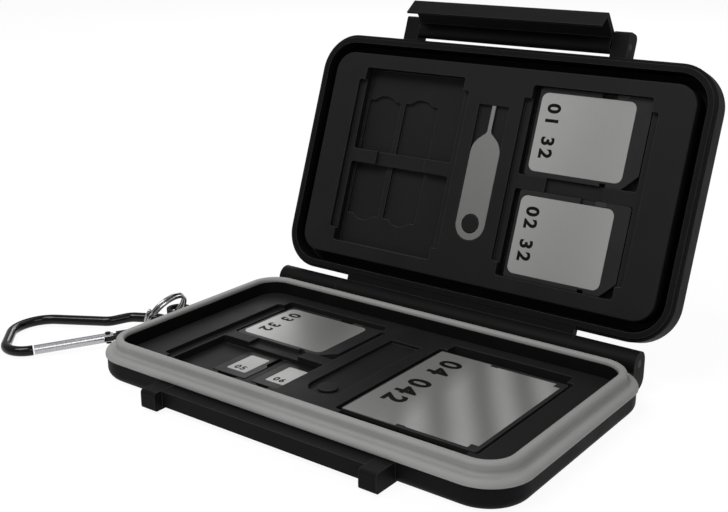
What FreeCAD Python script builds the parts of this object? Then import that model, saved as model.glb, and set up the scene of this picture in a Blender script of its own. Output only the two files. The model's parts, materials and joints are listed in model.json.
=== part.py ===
import FreeCAD, Part
import math
import os
import Sketcher

# Memory card case with card trays in base and lid, a latch and a carry hook.
# Millimetres and degrees. X runs along the case, the latch faces -Y, the hinge +Y, Z is up.
# The floor of the case is z = 0. The lid is shown open and the latch swung part way out.

Vector = FreeCAD.Vector
Placement = FreeCAD.Placement
Rotation = FreeCAD.Rotation
ORIGIN = Vector(0, 0, 0)
AXIS_X = Vector(1, 0, 0)
AXIS_Y = Vector(0, 1, 0)
AXIS_Z = Vector(0, 0, 1)
NEAR = 1e-4
# How far a cut runs past the face that it opens
OVERCUT = 1.0
# Share of a wall's thickness that a lug is rooted in, and of its room that a rounding may fill
ROOT_SHARE = 0.9
ROUND_SHARE = 0.9
# Contact pads of a large and a small card
LARGE_PADS = 8
SMALL_PADS = 7
# Points on each arc of a coil where the gap between its turns is measured
GAP_POINTS = 9

SIZES = {
    # Case outline, taken at the outer edge of the seal
    "case_width": 122.8,
    "case_depth": 70.9,
    "corner_radius": 11.0,
    # Base shell
    "base_height": 5.7,
    "base_floor": 0.9,
    "base_wall": 1.5,
    "base_round": 2.5,
    "seal_overhang": 0.4,
    "channel_width": 1.5,
    "channel_depth": 2.7,
    "upstand_width": 1.5,
    "upstand_height": 3.15,
    # Seal
    "seal_fit": 0.05,
    "shelf_height": 1.5,
    "shelf_round": 1.3,
    "crest_height": 4.3,
    "crest_skin": 0.6,
    "crest_round": 0.85,
    "crest_cove": 0.8,
    # Lid shell
    "rim_gap": 0.2,
    "rim_step": 0.5,
    "rim_step_width": 0.9,
    "rim_round": 0.35,
    "lid_wall": 2.4,
    "lid_height": 8.5,
    "lid_top": 1.6,
    "lid_round": 3.0,
    "groove_width": 2.8,
    "lid_tray_recess": 0.3,
    # Card trays
    "tray_fit": 0.15,
    "tray_floor": 0.35,
    "tray_round": 0.4,
    "pocket_round": 0.8,
    "nest_round": 0.5,
    "column_offset": 27.85,
    "ledge_width": 38.3,
    "ledge_length": 45.0,
    "ledge_depth": 1.3,
    "rib_width": 3.8,
    "rib_notch_width": 16.8,
    "rib_notch_depth": 2.4,
    "bay_room": 2.2,
    "bay_fit": 0.2,
    "nest_fit": 0.3,
    "base_nest_spacing": 13.1,
    "lid_nest_spacing": 13.0,
    "base_nest_shift": 4.75,
    "lid_nest_shift": -4.25,
    "thumb_radius": 5.2,
    "thumb_reach": 1.5,
    "wide_room": 1.9,
    "wide_end_room": 9.4,
    "card_proud": 0.15,
    "sd_recess": 1.4,
    # Hinge
    "hinge_setback": 4.5,
    "hinge_height": 7.1,
    "hinge_pin_radius": 1.0,
    "knuckle_radius": 3.2,
    "bracket_left": 59.0,
    "bracket_right": 55.8,
    "knuckle_split": 37.6,
    "knuckle_gap": 0.2,
    "bracket_notch": 5.45,
    "bracket_round": 3.0,
    "arm_low": 0.5,
    "arm_high": 2.6,
    "arm_inset": 0.9,
    "heel_inner": 8.0,
    "heel_outer": 16.0,
    "heel_gap": 0.15,
    "heel_length": 4.75,
    "heel_low": 2.45,
    "heel_high": 1.6,
    "open_angle": 109.6,
    "running_fit": 0.05,
    "tight_fit": 0.02,
    # Latch
    "ear_inner": 30.2,
    "ear_width": 4.6,
    "ear_reach": 7.0,
    "ear_low": 1.0,
    "ear_height": 4.8,
    "ear_round": 1.6,
    "latch_out": 3.25,
    "latch_rise": 2.6,
    "latch_pin_radius": 0.8,
    "barrel_radius": 2.2,
    "flap_side_gap": 0.25,
    "flap_thickness": 1.4,
    "flap_gap": 0.3,
    "flap_shoulder": 1.6,
    "flap_round": 0.45,
    "lip_thickness": 0.55,
    "lip_grip": 3.8,
    "latch_angle": 34.0,
    "bar_reach": 3.85,
    "bar_low": 1.3,
    "bar_height": 3.95,
    "block_reach": 6.35,
    "block_low": 0.6,
    "block_height": 4.8,
    "block_round": 0.8,
    # Large cards
    "sd_length": 32.0,
    "sd_width": 24.0,
    "sd_thickness": 2.1,
    "sd_bevel": 4.0,
    "sd_corner": 0.8,
    "sd_label_length": 27.1,
    "sd_label_width": 21.4,
    "sd_label_shift": -1.75,
    "sd_label_round": 2.0,
    "label_depth": 0.2,
    "label_fit": 0.05,
    "lock_start": 1.8,
    "lock_length": 7.5,
    "lock_depth": 1.3,
    "lock_height": 1.2,
    "lock_slider": 3.1,
    "lock_fit": 0.1,
    "notch_start": 5.9,
    "notch_length": 1.7,
    "notch_depth": 0.8,
    "pad_length": 3.9,
    "pad_width": 1.7,
    "pad_pitch": 2.5,
    "pad_margin": 2.0,
    "pad_thickness": 0.12,
    "base_sd_shift": -0.4,
    "lid_sd_shift": 0.7,
    # Small cards
    "micro_length": 15.0,
    "micro_width": 11.0,
    "micro_thickness": 1.0,
    "micro_step": 1.3,
    "micro_step_length": 6.4,
    "micro_label_length": 9.8,
    "micro_label_width": 6.4,
    "micro_label_round": 0.6,
    "micro_pad_width": 0.75,
    "micro_pad_length": 2.8,
    "micro_pad_pitch": 1.1,
    # Wide card
    "wide_length": 42.8,
    "wide_width": 36.4,
    "wide_thickness": 3.3,
    "wide_recess": 0.2,
    "cover_thickness": 0.3,
    "cover_edge": 0.3,
    "cover_margin": 1.0,
    "cover_step": -3.0,
    "cover_notch": 2.2,
    "cover_corner": 1.8,
    "guide_length": 31.0,
    "guide_depth": 0.8,
    "guide_height": 1.2,
    # Eject tool
    "tool_width": 9.2,
    "tool_thickness": 0.8,
    "tool_fit": 0.15,
    "tool_eye": 13.8,
    "tool_hole_radius": 2.75,
    "tool_shoulder": 8.3,
    "tool_neck": 11.7,
    "tool_tip": 19.2,
    "tool_pin_width": 1.15,
    "tool_shoulder_round": 5.5,
    "tool_neck_round": 1.2,
    "slot_depth": 1.0,
    "peg_radius": 2.5,
    "peg_recess": 0.2,
    # Eyelet and split ring
    "eyelet_out": 7.3,
    "eyelet_shift": 3.9,
    "eyelet_radius": 3.45,
    "eyelet_hole_radius": 2.45,
    "eyelet_low": 3.85,
    "eyelet_thickness": 1.2,
    "ring_radius": 6.3,
    "ring_wire_radius": 0.3,
    "ring_pitch": 1.02,
    "ring_lean": 56.7,
    "ring_hang": 108.0,
    "ring_turns": 2.0,
    # Carabiner, its place measured from the middle of the eyelet
    "hook_x": -3.27,
    "hook_y": -12.33,
    "hook_z": -1.42,
    "hook_turn": 44.85,
    "hook_ground_gap": 0.03,
    "hook_wire_radius": 1.38,
    "hook_length": 35.35,
    "hook_spine": 14.45,
    "nose_bend": 6.35,
    "spine_bend": 8.5,
    "waist_back": 8.4,
    "waist_side": 4.45,
    "waist_bend": 4.0,
    "shoulder_back": 2.65,
    "shoulder_side": 6.55,
    "eye_front": 9.85,
    "eye_side": 1.6,
    "eye_bend": 4.0,
    "eye_stem": 12.6,
    "gate_length": 19.6,
    "gate_radius": 1.28,
    "gate_bore_radius": 0.85,
    "gate_bore_length": 11.8,
    "gate_fork": 1.3,
    "gate_gap": 0.35,
    "gate_slope": 12.1,
    "pivot_back": 7.9,
    "pivot_side": 8.0,
    "tongue_thickness": 1.2,
    "tongue_width": 2.1,
    "tongue_fit": 0.1,
    "tongue_reach": 2.2,
    "tongue_root": 1.0,
    "rivet_radius": 0.45,
    "rivet_head_radius": 0.75,
    "rivet_head_height": 0.2,
    "spring_radius": 0.55,
    "spring_wire_radius": 0.12,
    "spring_pitch": 0.75,
    "spring_turns": 6.0,
    "spring_start": 2.6,
}


class Size:
    """A number together with the spreadsheet expression that gives it."""

    def __init__(self, value, text):
        self.value = value
        self.text = text

    def __add__(self, other):
        other = as_size(other)
        return Size(self.value + other.value, f"({self.text} + {other.text})")

    def __radd__(self, other):
        return as_size(other) + self

    def __sub__(self, other):
        other = as_size(other)
        return Size(self.value - other.value, f"({self.text} - {other.text})")

    def __rsub__(self, other):
        return as_size(other) - self

    def __mul__(self, other):
        other = as_size(other)
        return Size(self.value * other.value, f"({self.text} * {other.text})")

    def __rmul__(self, other):
        return as_size(other) * self

    def __truediv__(self, other):
        other = as_size(other)
        return Size(self.value / other.value, f"({self.text} / {other.text})")

    def __neg__(self):
        return Size(-self.value, f"(0 - {self.text})")


def as_size(item):
    """Gives a plain number the form of a size."""
    if isinstance(item, Size):
        return item
    return Size(float(item), f"({float(item)!r})")


def smaller(first, second):
    """The smaller of two sizes, for rounding that a wall limits."""
    return Size(min(first.value, second.value), f"min({first.text}; {second.text})")


class Dimensions:
    """Holds the driving sizes of the sheet as attributes."""

    def __init__(self, sheet, names):
        for name in names:
            setattr(self, name, Size(float(sheet.get(name)), f"{sheet.Name}.{name}"))


doc = FreeCAD.newDocument("card_case")
sheet = doc.addObject("Spreadsheet::Sheet", "Sizes")
for row, (alias, number) in enumerate(SIZES.items(), start=1):
    sheet.set(f"A{row}", alias)
    sheet.set(f"B{row}", str(number))
    sheet.setAlias(f"B{row}", alias)
doc.recompute()
dim = Dimensions(sheet, SIZES)

nodes = []


def bind(item, path, size):
    """Ties a property of an object to a size of the sheet."""
    item.setExpression(path, as_size(size).text)


def tie(outline, kind, point, size):
    """Ties one coordinate of a sketch point to a size, measured from the sketch origin."""
    size = as_size(size)
    geometry, position = point
    if abs(size.value) < NEAR:
        axis = -2 if kind == "DistanceX" else -1
        outline.addConstraint(Sketcher.Constraint("PointOnObject", geometry, position, axis))
        return
    index = outline.addConstraint(Sketcher.Constraint(kind, -1, 1, geometry, position, size.value))
    outline.setExpression(f"Constraints[{index}]", size.text)


class Rounded:
    """A rectangle with round corners."""

    def __init__(self, left, right, low, high, radius):
        self.edges = [as_size(left), as_size(right), as_size(low), as_size(high)]
        self.radius = as_size(radius)

    def draw(self, outline):
        left, right, low, high = (edge.value for edge in self.edges)
        bend = self.radius.value
        sides = [
            (Vector(left + bend, low, 0), Vector(right - bend, low, 0)),
            (Vector(right, low + bend, 0), Vector(right, high - bend, 0)),
            (Vector(right - bend, high, 0), Vector(left + bend, high, 0)),
            (Vector(left, high - bend, 0), Vector(left, low + bend, 0)),
        ]
        centres = [
            Vector(right - bend, low + bend, 0),
            Vector(right - bend, high - bend, 0),
            Vector(left + bend, high - bend, 0),
            Vector(left + bend, low + bend, 0),
        ]
        lines = []
        arcs = []
        for turn, (side, centre) in enumerate(zip(sides, centres)):
            lines.append(outline.addGeometry(Part.LineSegment(*side), False))
            circle = Part.Circle(centre, AXIS_Z, bend)
            start = math.radians(90 * turn - 90)
            arc = Part.ArcOfCircle(circle, start, start + math.pi / 2)
            arcs.append(outline.addGeometry(arc, False))
        for turn in range(4):
            after = lines[(turn + 1) % 4]
            outline.addConstraint(Sketcher.Constraint("Tangent", lines[turn], 2, arcs[turn], 1))
            outline.addConstraint(Sketcher.Constraint("Tangent", arcs[turn], 2, after, 1))
            direction = "Horizontal" if turn % 2 == 0 else "Vertical"
            outline.addConstraint(Sketcher.Constraint(direction, lines[turn]))
            if turn:
                outline.addConstraint(Sketcher.Constraint("Equal", arcs[0], arcs[turn]))
        index = outline.addConstraint(Sketcher.Constraint("Radius", arcs[0], bend))
        outline.setExpression(f"Constraints[{index}]", self.radius.text)
        tie(outline, "DistanceX", (lines[3], 1), self.edges[0])
        tie(outline, "DistanceX", (lines[1], 1), self.edges[1])
        tie(outline, "DistanceY", (lines[0], 1), self.edges[2])
        tie(outline, "DistanceY", (lines[2], 1), self.edges[3])


class Disc:
    """A full circle."""

    def __init__(self, across, along, radius):
        self.across = as_size(across)
        self.along = as_size(along)
        self.radius = as_size(radius)

    def draw(self, outline):
        centre = Vector(self.across.value, self.along.value, 0)
        circle = outline.addGeometry(Part.Circle(centre, AXIS_Z, self.radius.value), False)
        index = outline.addConstraint(Sketcher.Constraint("Radius", circle, self.radius.value))
        outline.setExpression(f"Constraints[{index}]", self.radius.text)
        tie(outline, "DistanceX", (circle, 3), self.across)
        tie(outline, "DistanceY", (circle, 3), self.along)


class Polygon:
    """A closed outline of straight lines through given corners."""

    def __init__(self, *corners):
        self.corners = [(as_size(across), as_size(along)) for across, along in corners]

    def draw(self, outline):
        points = [Vector(across.value, along.value, 0) for across, along in self.corners]
        count = len(points)
        lines = []
        for index, point in enumerate(points):
            following = points[(index + 1) % count]
            lines.append(outline.addGeometry(Part.LineSegment(point, following), False))
        for index, line in enumerate(lines):
            following = lines[(index + 1) % count]
            outline.addConstraint(Sketcher.Constraint("Coincident", line, 2, following, 1))
        for line, (across, along) in zip(lines, self.corners):
            tie(outline, "DistanceX", (line, 1), across)
            tie(outline, "DistanceY", (line, 1), along)


def rectangle(left, right, low, high):
    """A plain rectangle."""
    return Polygon((left, low), (right, low), (right, high), (left, high))


def new_body(label):
    """Starts a sub-part."""
    body = doc.addObject("PartDesign::Body", label)
    body.Label = label
    return body


def new_sketch(body, plane, offset, outlines):
    """Draws outlines on a plane of the body's own origin, moved along its normal."""
    outline = body.newObject("Sketcher::SketchObject", body.Name + "_sketch")
    role = plane + "_Plane"
    support = next(item for item in body.Origin.OriginFeatures if item.Role == role)
    outline.AttachmentSupport = [(support, "")]
    outline.MapMode = "FlatFace"
    bind(outline, "AttachmentOffset.Base.z", offset)
    for shape in outlines:
        shape.draw(outline)
    outline.Visibility = False
    return outline


def add(body, plane, start, end, *outlines):
    """Adds material between two heights over a plane."""
    outline = new_sketch(body, plane, start, outlines)
    pad = body.newObject("PartDesign::Pad", body.Name + "_pad")
    pad.Profile = outline
    bind(pad, "Length", as_size(end) - start)
    return pad


def cut(body, plane, start, end, *outlines):
    """Takes material away between two heights over a plane."""
    outline = new_sketch(body, plane, end, outlines)
    pocket = body.newObject("PartDesign::Pocket", body.Name + "_pocket")
    pocket.Profile = outline
    bind(pocket, "Length", as_size(end) - start)
    return pocket


def soften(body, radius, test):
    """Rounds the edges of the body that pass a test."""
    doc.recompute()
    base = body.Tip
    names = [f"Edge{index}" for index, edge in enumerate(base.Shape.Edges, start=1) if test(edge)]
    fillet = body.newObject("PartDesign::Fillet", body.Name + "_round")
    fillet.Base = (base, names)
    bind(fillet, "Radius", radius)
    return fillet


def level(edge, height):
    """True where an edge lies flat at a height."""
    box = edge.BoundBox
    return abs(box.ZMin - height) < NEAR and abs(box.ZMax - height) < NEAR


def on_frame(edge, inset, height):
    """True where an edge runs round the case at an inset from the outline, at a height."""
    across = dim.case_width.value / 2 - inset
    along = dim.case_depth.value / 2 - inset
    corners = edge.Vertexes
    fits = [abs(abs(p.X) - across) < NEAR or abs(abs(p.Y) - along) < NEAR for p in corners]
    return level(edge, height) and all(fits)


def along_x(edge, depth, height):
    """True where a straight edge runs along X at a given Y and Z."""
    box = edge.BoundBox
    flat = box.YLength < NEAR and box.ZLength < NEAR
    return flat and abs(box.YMin - depth) < NEAR and abs(box.ZMin - height) < NEAR


def upright(edge, tests):
    """True where an edge is vertical and stands at one of the given X, Y places."""
    box = edge.BoundBox
    if box.XLength > NEAR or box.YLength > NEAR:
        return False
    return any(abs(box.XMin - x) < NEAR and abs(box.YMin - y) < NEAR for x, y in tests)


def frame_outline(inset):
    """The case outline drawn in by an inset."""
    across = half_width - inset
    along = half_depth - inset
    return Rounded(-across, across, -along, along, dim.corner_radius - inset)


def node(item, placement):
    """Records a finished sub-part and sets it in place."""
    item.Placement = placement
    nodes.append(item)
    return item


def about(point, axis, angle):
    """A rotation in degrees about an axis through a point."""
    return Placement(ORIGIN, Rotation(axis, angle), point)


def shift(x, y, z):
    """A plain move."""
    return Placement(Vector(x, y, z), Rotation())


def solid_box(name, x, y, z, length, width, height):
    """A box given by its low corner and its three lengths."""
    item = doc.addObject("Part::Box", name)
    for path, size in (("Length", length), ("Width", width), ("Height", height)):
        bind(item, path, size)
    for path, size in (("x", x), ("y", y), ("z", z)):
        bind(item, "Placement.Base." + path, size)
    return item


def solid_rod(name, radius, length, place):
    """A cylinder that starts at the origin of a placement and runs along its Z."""
    item = doc.addObject("Part::Cylinder", name)
    bind(item, "Radius", radius)
    bind(item, "Height", length)
    item.Placement = place
    return item


def joined(label, items):
    """Several solids as one sub-part."""
    item = doc.addObject("Part::MultiFuse", label)
    item.Shapes = items
    item.Label = label
    return item


def taken(label, base, tool):
    """One solid less another."""
    item = doc.addObject("Part::Cut", label)
    item.Base = base
    item.Tool = tool
    item.Label = label
    return item


# Levels and insets that several sub-parts share
half_width = dim.case_width / 2
half_depth = dim.case_depth / 2
wall_inset = dim.seal_overhang
channel_inset = wall_inset + dim.base_wall
upstand_inset = channel_inset + dim.channel_width
tray_inset = upstand_inset + dim.upstand_width
root_inset = wall_inset + dim.base_wall * ROOT_SHARE
wall_top = dim.base_height
upstand_top = wall_top + dim.upstand_height
shelf_top = wall_top + dim.shelf_height
crest_top = wall_top + dim.crest_height
crest_inset = upstand_inset - dim.crest_skin
rim_level = shelf_top + dim.rim_gap
lid_outside = rim_level + dim.lid_height
lid_inside = lid_outside - dim.lid_top
sd_depth = dim.sd_recess + dim.sd_thickness
nest_depth = sd_depth + dim.micro_thickness - dim.card_proud
wide_depth = dim.wide_thickness + dim.wide_recess
base_face = dim.base_floor + dim.tray_floor + nest_depth
lid_face = rim_level + dim.lid_tray_recess
lid_tray_inset = dim.lid_wall + dim.groove_width
hinge_y = half_depth + dim.hinge_setback
hinge_z = dim.hinge_height
ear_outer = dim.ear_inner + dim.ear_width
pivot_y = -(half_depth + dim.latch_out)
pivot_z = rim_level + dim.latch_rise
bar_front = -(half_depth + dim.bar_reach)

lid_open = about(Vector(0, hinge_y.value, hinge_z.value), -AXIS_X, dim.open_angle.value)
latch_swing = about(Vector(0, pivot_y.value, pivot_z.value), -AXIS_X, dim.latch_angle.value)
flap_place = lid_open.multiply(latch_swing)
base_tray = shift(0, 0, base_face.value)
lid_tray = lid_open.multiply(shift(0, 0, lid_face.value)).multiply(about(ORIGIN, AXIS_X, 180))
along_width = Rotation(AXIS_Y, 90)


# Base shell: tray, upstand, seal channel, latch bar, hinge brackets, eyelet
base = new_body("base_shell")
add(base, "XY", 0, wall_top, frame_outline(wall_inset))
soften(base, dim.base_round, lambda edge: level(edge, 0))
add(base, "XY", wall_top, upstand_top, frame_outline(upstand_inset), frame_outline(tray_inset))
cut(base, "XY", dim.base_floor, upstand_top, frame_outline(tray_inset))
cut(base, "XY", wall_top - dim.channel_depth, wall_top,
    frame_outline(channel_inset), frame_outline(upstand_inset))
front_root = -(half_depth - root_inset)
rear_root = half_depth - root_inset
add(base, "YZ", -dim.ear_inner, dim.ear_inner,
    rectangle(bar_front, front_root, dim.bar_low, dim.bar_low + dim.bar_height))
block_front = -(half_depth + dim.block_reach)
block_top = dim.block_low + dim.block_height
bracket_inner = dim.knuckle_split + dim.knuckle_gap
bracket_rear = hinge_y + dim.knuckle_radius
for start, end in ((dim.ear_inner, ear_outer), (-ear_outer, -dim.ear_inner)):
    add(base, "YZ", start, end, rectangle(block_front, front_root, dim.block_low, block_top))
soften(base, dim.block_round, lambda edge: along_x(edge, block_front.value, block_top.value)
       or along_x(edge, block_front.value, dim.block_low.value))
for start, end in ((bracket_inner, dim.bracket_right), (-dim.bracket_left, -bracket_inner)):
    add(base, "YZ", start, end, Polygon(
        (rear_root, 0), (bracket_rear, 0), (bracket_rear, hinge_z),
        (hinge_y - dim.knuckle_radius, hinge_z), (hinge_y - dim.knuckle_radius, dim.bracket_notch),
        (rear_root, dim.bracket_notch)))
    add(base, "YZ", start, end, Disc(hinge_y, hinge_z, dim.knuckle_radius))
soften(base, dim.bracket_round, lambda edge: along_x(edge, bracket_rear.value, 0))
cut(base, "YZ", -dim.bracket_left - OVERCUT, dim.bracket_right + OVERCUT,
    Disc(hinge_y, hinge_z, dim.hinge_pin_radius + dim.tight_fit))
eyelet_x = -(half_width + dim.eyelet_out)
eyelet_top = dim.eyelet_low + dim.eyelet_thickness
add(base, "XY", dim.eyelet_low, eyelet_top, rectangle(
    eyelet_x, -(half_width - root_inset),
    dim.eyelet_shift - dim.eyelet_radius, dim.eyelet_shift + dim.eyelet_radius))
add(base, "XY", dim.eyelet_low, eyelet_top, Disc(eyelet_x, dim.eyelet_shift, dim.eyelet_radius))
cut(base, "XY", dim.eyelet_low, eyelet_top,
    Disc(eyelet_x, dim.eyelet_shift, dim.eyelet_hole_radius))
node(base, Placement())

# Seal: a foot in the channel, an outer shelf and a crest that caps the upstand
seal = new_body("rim_seal")
seal_inner = upstand_inset - dim.seal_fit
add(seal, "XY", wall_top, shelf_top, frame_outline(as_size(0)), frame_outline(seal_inner))
add(seal, "XY", wall_top - dim.channel_depth + dim.seal_fit, wall_top,
    frame_outline(channel_inset + dim.seal_fit), frame_outline(seal_inner))
skin_top = upstand_top + dim.seal_fit
add(seal, "XY", shelf_top, skin_top, frame_outline(crest_inset), frame_outline(seal_inner))
add(seal, "XY", skin_top, crest_top, frame_outline(crest_inset), frame_outline(tray_inset))
crest_width = tray_inset - crest_inset
soften(seal, smaller(dim.shelf_round, dim.shelf_height * ROUND_SHARE),
       lambda edge: on_frame(edge, 0, shelf_top.value))
soften(seal, dim.crest_cove, lambda edge: on_frame(edge, crest_inset.value, shelf_top.value))
soften(seal, smaller(dim.crest_round, crest_width / 2 * ROUND_SHARE),
       lambda edge: on_frame(edge, crest_inset.value, crest_top.value)
       or on_frame(edge, tray_inset.value, crest_top.value))
node(seal, Placement())

# Lid shell, drawn closed: walls, rim, hinge knuckle with stop heels, latch ears
lid = new_body("lid_shell")
shoulder = rim_level + dim.rim_step
add(lid, "XY", shoulder, lid_outside, frame_outline(as_size(0)))
soften(lid, dim.lid_round, lambda edge: level(edge, lid_outside.value))
soften(lid, dim.rim_round, lambda edge: level(edge, shoulder.value))
add(lid, "XY", rim_level, shoulder, frame_outline(dim.rim_step_width))
cut(lid, "XY", rim_level, lid_inside, frame_outline(dim.lid_wall))
lid_front_root = -(half_depth - dim.lid_wall * ROOT_SHARE)
lid_rear_root = half_depth - dim.lid_wall * ROOT_SHARE
ear_front = -(half_depth + dim.ear_reach)
ear_low = rim_level + dim.ear_low
ear_top = ear_low + dim.ear_height
for start, end in ((dim.ear_inner, ear_outer), (-ear_outer, -dim.ear_inner)):
    add(lid, "YZ", start, end, rectangle(ear_front, lid_front_root, ear_low, ear_top))
soften(lid, dim.ear_round, lambda edge: along_x(edge, ear_front.value, ear_top.value))
soften(lid, dim.block_round, lambda edge: along_x(edge, ear_front.value, ear_low.value))
arm_half = dim.knuckle_split - dim.arm_inset
add(lid, "YZ", -arm_half, arm_half, rectangle(
    lid_rear_root, hinge_y, hinge_z + dim.arm_low, hinge_z + dim.arm_high))
add(lid, "YZ", -dim.knuckle_split, dim.knuckle_split,
    Disc(hinge_y, hinge_z, dim.knuckle_radius))
open_angle = math.radians(dim.open_angle.value)


def lid_closed_point(depth, height):
    """The closed-lid place of a point given beside the hinge of the open lid."""
    over = as_size(depth) - hinge_y
    rise = as_size(height) - hinge_z
    cosine = Size(math.cos(open_angle), f"cos({dim.open_angle.text})")
    sine = Size(math.sin(open_angle), f"sin({dim.open_angle.text})")
    return (hinge_y + over * cosine - rise * sine, hinge_z + over * sine + rise * cosine)


heel_tip = half_depth - wall_inset + dim.heel_gap
heel_root = heel_tip + dim.heel_length
heel = Polygon(
    lid_closed_point(heel_tip, hinge_z - dim.heel_low),
    lid_closed_point(heel_root, hinge_z - dim.heel_low),
    lid_closed_point(heel_root, hinge_z - dim.heel_high),
    lid_closed_point(heel_tip, hinge_z - dim.heel_high))
add(lid, "YZ", dim.heel_inner, dim.heel_outer, heel)
add(lid, "YZ", -dim.heel_outer, -dim.heel_inner, heel)
cut(lid, "YZ", -dim.knuckle_split - OVERCUT, dim.knuckle_split + OVERCUT,
    Disc(hinge_y, hinge_z, dim.hinge_pin_radius + dim.running_fit))
cut(lid, "YZ", -ear_outer - OVERCUT, ear_outer + OVERCUT,
    Disc(pivot_y, pivot_z, dim.latch_pin_radius + dim.tight_fit))
node(lid, lid_open)

# Pins
hinge_pin = solid_rod("hinge_pin", dim.hinge_pin_radius, dim.bracket_left + dim.bracket_right,
                      Placement(ORIGIN, along_width))
node(hinge_pin, Placement(Vector(-dim.bracket_left.value, hinge_y.value, hinge_z.value), along_width))
latch_pin = solid_rod("latch_pin", dim.latch_pin_radius, ear_outer * 2,
                      Placement(ORIGIN, along_width))
node(latch_pin, lid_open.multiply(
    Placement(Vector(-ear_outer.value, pivot_y.value, pivot_z.value), along_width)))

# Latch flap, drawn hooked: barrel, plate and the lip that grips the bar
flap = new_body("latch_flap")
flap_half = dim.ear_inner - dim.flap_side_gap
plate_inner = bar_front - dim.flap_gap
plate_outer = plate_inner - dim.flap_thickness
lip_top = dim.bar_low - dim.flap_gap
lip_low = lip_top - dim.lip_thickness
lip_tip = plate_inner + dim.lip_grip
barrel_top = pivot_z + dim.barrel_radius
add(flap, "YZ", -flap_half, flap_half, Polygon(
    (plate_outer, lip_low), (lip_tip, lip_low), (lip_tip, lip_top), (plate_inner, lip_top),
    (plate_inner, pivot_z - dim.barrel_radius), (pivot_y, pivot_z - dim.barrel_radius),
    (pivot_y, barrel_top), (plate_inner, barrel_top), (plate_outer, barrel_top - dim.flap_shoulder)))
add(flap, "YZ", -flap_half, flap_half, Disc(pivot_y, pivot_z, dim.barrel_radius))
soften(flap, dim.flap_round, lambda edge: along_x(edge, plate_outer.value, lip_low.value)
       or along_x(edge, plate_outer.value, (barrel_top - dim.flap_shoulder).value))
cut(flap, "YZ", -flap_half - OVERCUT, flap_half + OVERCUT,
    Disc(pivot_y, pivot_z, dim.latch_pin_radius + dim.running_fit))
node(flap, flap_place)


# Card trays: drawn face up with the face at z = 0
bay_half = (dim.sd_length + dim.bay_room) / 2
bay_near = dim.rib_width / 2
bay_far = bay_near + dim.sd_width + dim.bay_fit
bay_middle = (bay_near + bay_far) / 2
nest_half = (dim.micro_width + dim.nest_fit) / 2
nest_far = bay_near + dim.micro_length + dim.nest_fit


def cut_card_column(body, centre):
    """Ledges, two bays for large cards and a notched rib between them."""
    left = centre - dim.ledge_width / 2
    right = centre + dim.ledge_width / 2
    cut(body, "XY", -dim.ledge_depth, 0,
        Rounded(left, right, -dim.ledge_length / 2, dim.ledge_length / 2, dim.pocket_round))
    left = centre - bay_half
    right = centre + bay_half
    cut(body, "XY", -sd_depth, 0,
        Rounded(left, right, -bay_far, -bay_near, dim.pocket_round),
        Rounded(left, right, bay_near, bay_far, dim.pocket_round))
    left = centre - dim.rib_notch_width / 2
    right = centre + dim.rib_notch_width / 2
    reach = bay_near + OVERCUT
    cut(body, "XY", -dim.rib_notch_depth, 0, rectangle(left, right, -reach, reach))


def cut_small_nests(body, centre, spacing):
    """Four nests for small cards in the floor of the bays, each with a thumb notch."""
    rows = []
    thumbs = []
    thumb_middle = nest_far + dim.thumb_reach - dim.thumb_radius
    for across in (centre - spacing / 2, centre + spacing / 2):
        left = across - nest_half
        right = across + nest_half
        rows.append(Rounded(left, right, bay_near, nest_far, dim.nest_round))
        rows.append(Rounded(left, right, -nest_far, -bay_near, dim.nest_round))
        thumbs.append(Disc(across, thumb_middle, dim.thumb_radius))
        thumbs.append(Disc(across, -thumb_middle, dim.thumb_radius))
    cut(body, "XY", -nest_depth, 0 - sd_depth, *rows)
    cut(body, "XY", -nest_depth, 0 - sd_depth, *thumbs)


def cut_wide_column(body, centre):
    """One bay for a wide card, with finger room at both ends."""
    half = (dim.wide_width + dim.wide_room) / 2
    reach = (dim.wide_length + dim.wide_room) / 2
    cut(body, "XY", -wide_depth, 0,
        Rounded(centre - half, centre + half, -reach, reach, dim.pocket_round))
    reach = (dim.wide_length + dim.wide_end_room) / 2
    cut(body, "XY", -wide_depth, 0,
        Rounded(centre - bay_half, centre + bay_half, -reach, reach, dim.pocket_round))


def cut_tool_slot(body):
    """A slot for the eject tool, with a peg through its eye."""
    half = dim.tool_width / 2 + dim.tool_fit
    cut(body, "XY", -dim.slot_depth, 0,
        rectangle(-half, half, -dim.tool_eye, dim.tool_tip + dim.tool_fit))
    cut(body, "XY", -dim.slot_depth, 0, Disc(0, -dim.tool_eye, half))
    add(body, "XY", -dim.slot_depth, -dim.peg_recess, Disc(0, -dim.tool_eye, dim.peg_radius))


def card_tray(label, inset, thickness):
    """The block that a tray is cut from, with its face edge rounded."""
    body = new_body(label)
    add(body, "XY", -thickness, 0, frame_outline(inset))
    soften(body, dim.tray_round, lambda edge: level(edge, 0))
    return body


base_insert = card_tray("base_insert", tray_inset + dim.tray_fit, base_face - dim.base_floor)
cut_card_column(base_insert, -dim.column_offset)
cut_small_nests(base_insert, -dim.column_offset + dim.base_nest_shift, dim.base_nest_spacing)
cut_wide_column(base_insert, dim.column_offset)
cut_tool_slot(base_insert)
node(base_insert, base_tray)

lid_insert = card_tray("lid_insert", lid_tray_inset, lid_inside - lid_face)
cut_card_column(lid_insert, -dim.column_offset)
cut_small_nests(lid_insert, -dim.column_offset + dim.lid_nest_shift, dim.lid_nest_spacing)
cut_card_column(lid_insert, dim.column_offset)
cut_tool_slot(lid_insert)
node(lid_insert, lid_tray)

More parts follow.
